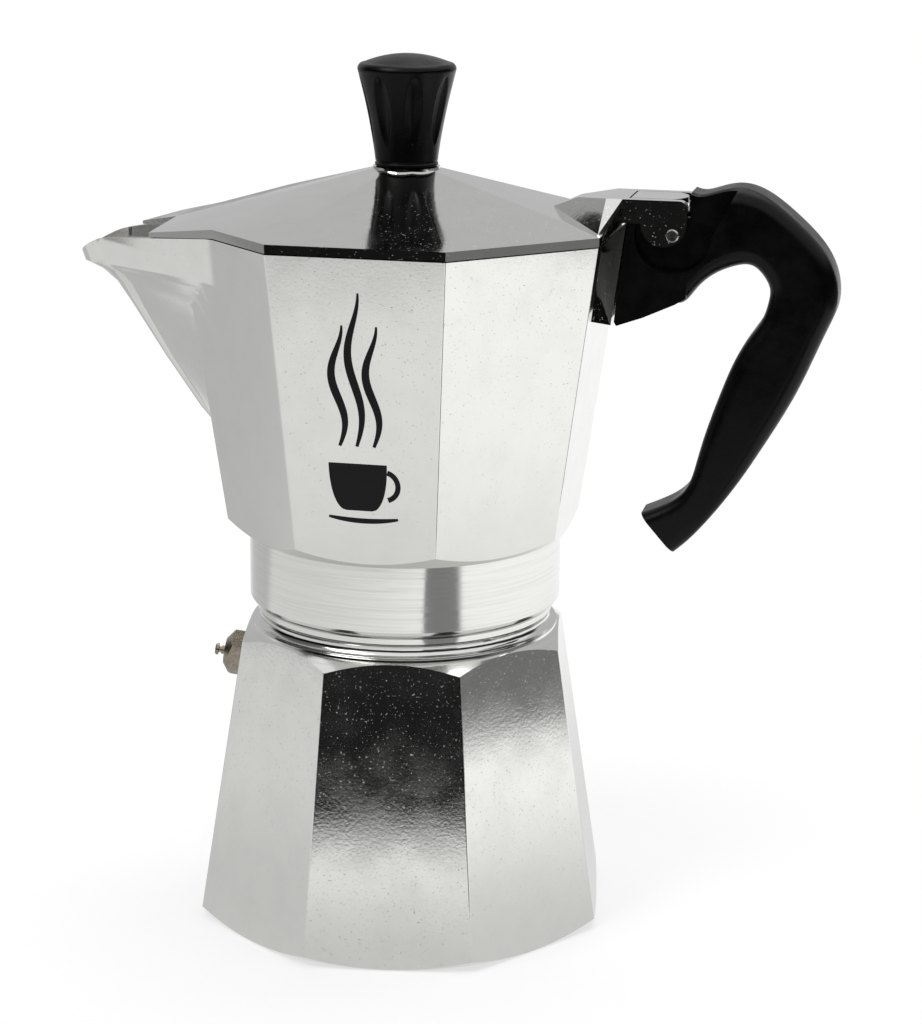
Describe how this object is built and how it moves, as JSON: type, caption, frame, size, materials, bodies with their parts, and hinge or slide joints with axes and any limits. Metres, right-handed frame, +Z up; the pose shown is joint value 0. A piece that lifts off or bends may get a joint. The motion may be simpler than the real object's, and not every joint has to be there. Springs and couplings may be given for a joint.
{
  "type": "moka pot",
  "caption": "Eight-sided stovetop coffee maker: screw-on collector with hinged lid and pouring spout over a boiler with funnel and safety valve.",
  "frame": {"origin": "on the pot's vertical axis, at the flat underside that it stands on", "axes": "+Z up; +X towards the handle and the lid's hinge; the spout points along -X; +Y completes the right-handed frame"},
  "size_m": [0.1938, 0.1074, 0.2217],
  "materials": {
    "boiler_aluminium": "polished facets",
    "collector_aluminium": "polished facets",
    "lid_aluminium": "polished facets",
    "funnel_aluminium": "satin drawn sheet",
    "filter_aluminium": "satin pressed sheet",
    "gasket_rubber": "matte",
    "valve_rubber": "matte",
    "valve_brass": "turned",
    "valve_steel": "bright",
    "pin_steel": "bright",
    "black_plastic": "semi-gloss"
  },
  "bodies": {
    "boiler": {"boiler": "boiler_aluminium", "valve_washer": "valve_steel", "valve_body": "valve_brass", "valve_spring": "valve_steel"},
    "valve": {"valve_piston": "valve_brass", "valve_seal": "valve_rubber"},
    "funnel": {"funnel_bowl": "funnel_aluminium", "funnel_tube": "funnel_aluminium", "funnel_screen": "funnel_aluminium"},
    "gasket": {"gasket": "gasket_rubber"},
    "filter": {"filter_plate": "filter_aluminium"},
    "collector": {"collector": "collector_aluminium", "column_cap": "collector_aluminium", "handle": "black_plastic", "handle_pin": "pin_steel", "hinge_pin": "pin_steel"},
    "lid": {"lid": "lid_aluminium", "knob": "black_plastic", "knob_insert": "valve_brass", "knob_screw": "pin_steel"}
  },
  "joints": [
    {"name": "valve_lift", "type": "slide", "parent": "boiler", "child": "valve", "axis": [-0.9773, -0.1513, 0.1485], "range_m": [0, 0.0016], "stiffness_N_per_m": 800, "deforming": ["valve_spring"]},
    {"name": "funnel_lift", "type": "slide", "parent": "boiler", "child": "funnel", "axis": [0, 0, 1], "range_m": [0, 0.09]},
    {"name": "collector_off", "type": "slide", "parent": "funnel", "child": "gasket", "axis": [0, 0, 1], "range_m": [0, 0.07]},
    {"name": "collector_rise", "type": "slide", "parent": "gasket", "child": "filter", "axis": [0, 0, 1], "range_m": [0, 0.0136]},
    {"name": "collector_unscrew", "type": "hinge", "parent": "filter", "child": "collector", "pos_m": [0, 0, 0.0901], "axis": [0, 0, 1], "range_deg": [0, 1620]},
    {"name": "lid_hinge", "type": "hinge", "parent": "collector", "child": "lid", "pos_m": [0.0683, 0, 0.1805], "axis": [0, 1, 0], "range_deg": [0, 90]}
  ],
  "couplings": [
    {"joint": "collector_rise", "follows": "collector_unscrew", "m_per_rad": 0.00047746}
  ]
}
